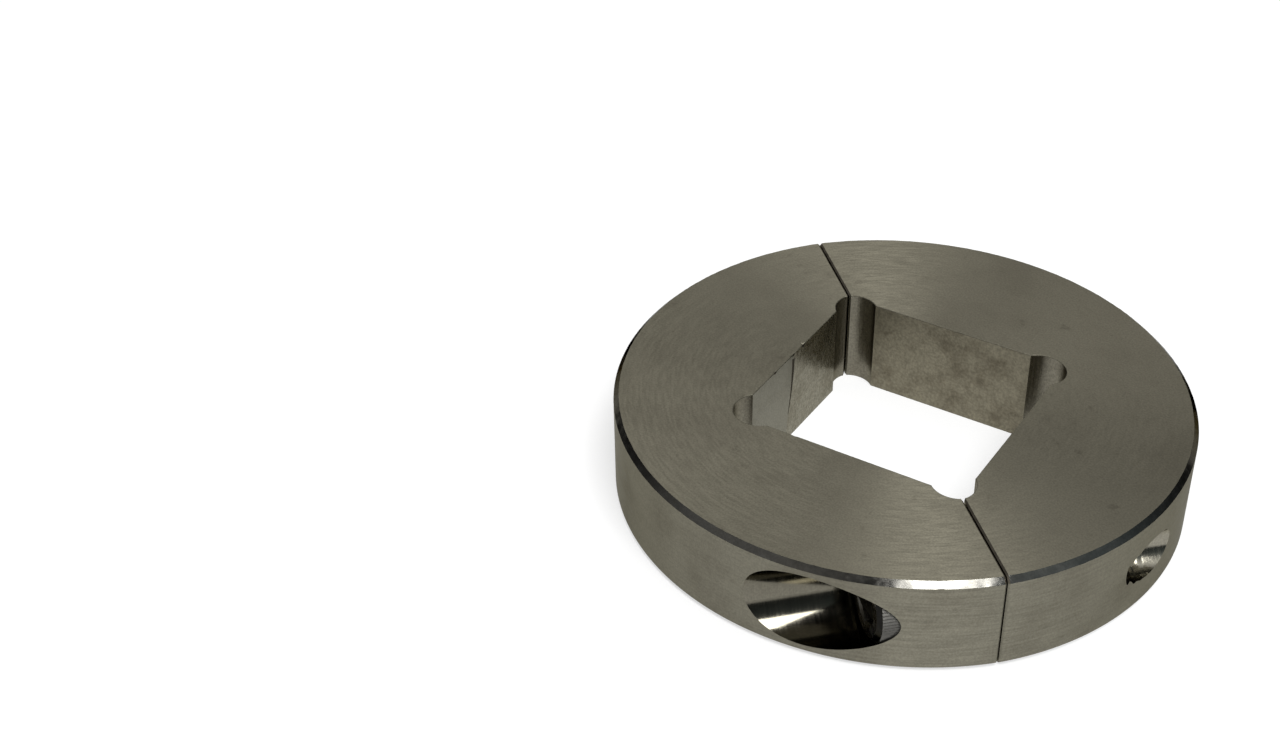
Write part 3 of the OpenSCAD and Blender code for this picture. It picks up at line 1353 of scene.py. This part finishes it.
@dataclass
class Studio:
    """White floor, soft panels, one soft lamp and the camera of the photograph. Lengths in metres."""

    eye: Vector = field(default_factory=lambda: Vector((95.83, -215.96, 184.78)) * MM)
    aim: Vector = field(default_factory=lambda: Vector((-35.61, -18.05, 15.875)) * MM)
    roll: float = math.radians(-1.161)
    lens: float = 53.383
    sensor_width: float = 36.0
    nearest: float = 0.005
    farthest: float = 100.0
    floor_size: float = 16.0
    floor_colour: Colour = (0.45, 0.45, 0.45)
    floor_glow: float = 0.6
    lamp_azimuth: float = math.radians(-42)
    lamp_height: float = math.radians(59.7)
    lamp_distance: float = 2.0
    lamp_size: tuple[float, float] = (0.86, 0.96)
    lamp_power: float = 33.5
    horizon: Span = (0.0, 0.1)
    horizon_level: float = 1.0
    ceiling_level: float = 0.03
    panels: tuple[Panel, ...] = (
        Panel(azimuth=120, height=45, level=1.07),
        Panel(azimuth=150, height=45, level=0.74),
        Panel(azimuth=-100, height=30, level=0.4),
        Panel(azimuth=-140, height=30, level=0.24),
        Panel(azimuth=5, height=32, level=0.15, sharpness=6.0, tint=(0.75, 1.0, 1.1)),
        Panel(azimuth=20, height=65, level=1.3),
    )

    def set_camera(self) -> None:
        """Stands the camera where the photograph was taken from."""
        camera = bpy.data.objects.new("camera", bpy.data.cameras.new("camera"))
        bpy.context.scene.collection.objects.link(camera)
        camera.data.lens = self.lens
        camera.data.sensor_width = self.sensor_width
        camera.data.clip_start = self.nearest
        camera.data.clip_end = self.farthest
        camera.rotation_mode = "QUATERNION"
        camera.location = self.eye
        turn = (self.aim - self.eye).to_track_quat("-Z", "Y")
        camera.rotation_quaternion = turn @ Quaternion((0.0, 0.0, 1.0), self.roll)
        bpy.context.scene.camera = camera

    def lay_floor(self) -> None:
        """Lays a white floor that keeps the collar's shadow."""
        clear_bench()
        bpy.ops.mesh.primitive_plane_add(size=self.floor_size)
        floor = bpy.context.object
        floor.name = "floor"
        paper = bpy.data.materials.new("white_paper")
        paper.use_nodes = True
        bench = NodeBench(paper.node_tree)
        bench.nodes.clear()
        output = bench.nodes.new("ShaderNodeOutputMaterial")
        matt = bench.nodes.new("ShaderNodeBsdfDiffuse")
        matt.inputs["Color"].default_value = (*self.floor_colour, 1.0)
        path = bench.nodes.new("ShaderNodeLightPath").outputs
        mirrored = bench.work("MAXIMUM", path["Is Glossy Ray"], path["Is Transmission Ray"])
        seen = bench.work("MAXIMUM", path["Is Camera Ray"], mirrored)
        glow = bench.nodes.new("ShaderNodeEmission")
        bench.feed(glow.inputs["Strength"], bench.work("MULTIPLY", seen, self.floor_glow))
        both = bench.nodes.new("ShaderNodeAddShader")
        bench.feed(both.inputs[0], matt.outputs[0])
        bench.feed(both.inputs[1], glow.outputs[0])
        bench.feed(output.inputs["Surface"], both.outputs[0])
        floor.data.materials.append(paper)

    def hang_lamp(self) -> None:
        """Hangs one soft box in front of the collar."""
        lamp = bpy.data.lights.new("soft_box", "AREA")
        lamp.shape = "RECTANGLE"
        lamp.size, lamp.size_y = self.lamp_size
        lamp.energy = self.lamp_power
        stand = bpy.data.objects.new("soft_box", lamp)
        bpy.context.scene.collection.objects.link(stand)
        direction = toward(self.lamp_azimuth, self.lamp_height)
        stand.location = self.lamp_distance * direction
        stand.rotation_mode = "QUATERNION"
        stand.rotation_quaternion = direction.to_track_quat("Z", "Y")

    def light_sky(self) -> None:
        """Sets a sky that is white at the horizon and dim above, with soft panels round the collar."""
        world = bpy.data.worlds.new("sky")
        bpy.context.scene.world = world
        world.use_nodes = True
        bench = NodeBench(world.node_tree)
        where = bench.nodes.new("ShaderNodeTexCoord").outputs["Generated"]
        rise = bench.parts(where)[2]
        level = bench.spread(rise, *self.horizon, self.horizon_level, self.ceiling_level)
        sky = bench.vector(level, level, level)
        for panel in self.panels:
            sky = bench.total(sky, panel.light(bench, where))
        bench.feed(bench.nodes["Background"].inputs["Color"], sky)
        bench.nodes["Background"].inputs["Strength"].default_value = 1.0
        bpy.context.scene.view_settings.view_transform = "Standard"


def toward(azimuth: float, height: float) -> Vector:
    """Unit vector towards a direction given by its angle from X and above the floor."""
    flat = math.cos(height)
    return Vector((flat * math.cos(azimuth), flat * math.sin(azimuth), math.sin(height)))


def opening_direction() -> Vector:
    """The way the right half slides when the collar is opened."""
    slide = next(joint for joint in frame["joints"] if joint["type"] == "slide")
    return Vector(slide["axis"]).normalized()


def set_in_frame(piece: bpy.types.Object, name: str, node: str) -> None:
    """Scales a finished piece into metres, names it and puts it in its node's place.

    Args:
        piece: The finished piece.
        name: Its name.
        node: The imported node, and body, that it stands for.
    """
    piece.name = name
    piece.data.name = name
    piece.data.transform(Matrix.Scale(MM, 4))
    take_up(piece)
    bpy.ops.object.shade_smooth_by_angle(angle=SMOOTH_BELOW)
    part_finishes(piece)
    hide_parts(node)
    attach(piece, node)
    log.info("%s: %d faces, rides on %s", name, len(piece.data.polygons), node)


def part_finishes(piece: bpy.types.Object) -> None:
    """Keeps the edge sharp wherever two finishes meet.

    Args:
        piece: The dressed piece.
    """
    with editing(piece, Pick.EDGES):
        mesh = bmesh.from_edit_mesh(piece.data)
        for edge in mesh.edges:
            edge.select_set(len({face.material_index for face in edge.link_faces}) > 1)
        bmesh.update_edit_mesh(piece.data)
        bpy.ops.mesh.mark_sharp()


def copy_of(piece: bpy.types.Object) -> bpy.types.Object:
    """A copy of a piece with its own mesh.

    Args:
        piece: The piece.

    Returns:
        The copy.
    """
    copy = piece.copy()
    copy.data = piece.data.copy()
    bpy.context.scene.collection.objects.link(copy)
    return copy


def make_halves(rack: SteelRack) -> None:
    """Makes one half, copies it turned for the other, and wears and dresses each.

    Args:
        rack: The finishes.
    """
    maker = CollarHalf(opening_direction())
    right = maker.make()
    left = copy_of(right)
    left.data.transform(Matrix.Rotation(math.pi, 4, "Z"))
    worn_left = replace(
        maker,
        outward=-maker.outward,
        nicks={
            "-x": [
                Nick(at=2.8, width=0.35, depth=0.45),
                Nick(at=-0.4, width=0.4, depth=0.25),
                Nick(at=-6.0, width=0.3, depth=0.35),
            ],
            "-y": [Nick(at=-8.3, width=0.3, depth=0.2)],
        },
        rim_nicks=[Nick(at=129.9, width=0.35, depth=0.15)],
        gouge=Gouge(
            foot=Vector((-18.515, -1.5, 4.9)),
            mouth=Vector((-18.43, -0.3, 15.0)),
            foot_radius=0.1,
            mouth_radius=0.42,
        ),
    )
    worn_right = replace(maker, dub_depth=0.3, dub_length=1.3)
    for half, work, side in ((right, worn_right, "right"), (left, worn_left, "left")):
        work.score(half)
        work.wear_rim(half)
        work.wear(half)
        rack.dress(half, work.surface_at)
        set_in_frame(half, f"{side}_half_machined", f"{side}_half")


def make_screws(rack: SteelRack) -> None:
    """Makes one screw and sets a copy on the axis of each screw joint.

    Args:
        rack: The finishes.
    """
    maker = ClampScrew()
    land = CollarHalf(opening_direction())
    seat = land.split_face + land.clamp_land
    pattern = maker.make(seat)
    rack.dress(pattern, lambda centre, normal: maker.surface_at(centre, normal, seat))
    for joint in frame["joints"]:
        if joint["type"] == "hinge":
            screw = copy_of(pattern)
            place = axis_frame(Vector(joint["pos_m"]) / MM, Vector(joint["axis"]).normalized())
            screw.data.transform(place)
            set_in_frame(screw, f"{joint['child']}_threaded", joint["child"])
    bpy.data.objects.remove(pattern, do_unlink=True)


def main() -> None:
    """Builds the studio and the pieces in order."""
    logging.basicConfig(level=logging.INFO, format="%(name)s: %(message)s")
    studio = Studio()
    studio.set_camera()
    studio.lay_floor()
    studio.hang_lamp()
    studio.light_sky()
    rack = SteelRack()
    make_halves(rack)
    make_screws(rack)
    clear_bench()


if __name__ == "__main__":
    main()
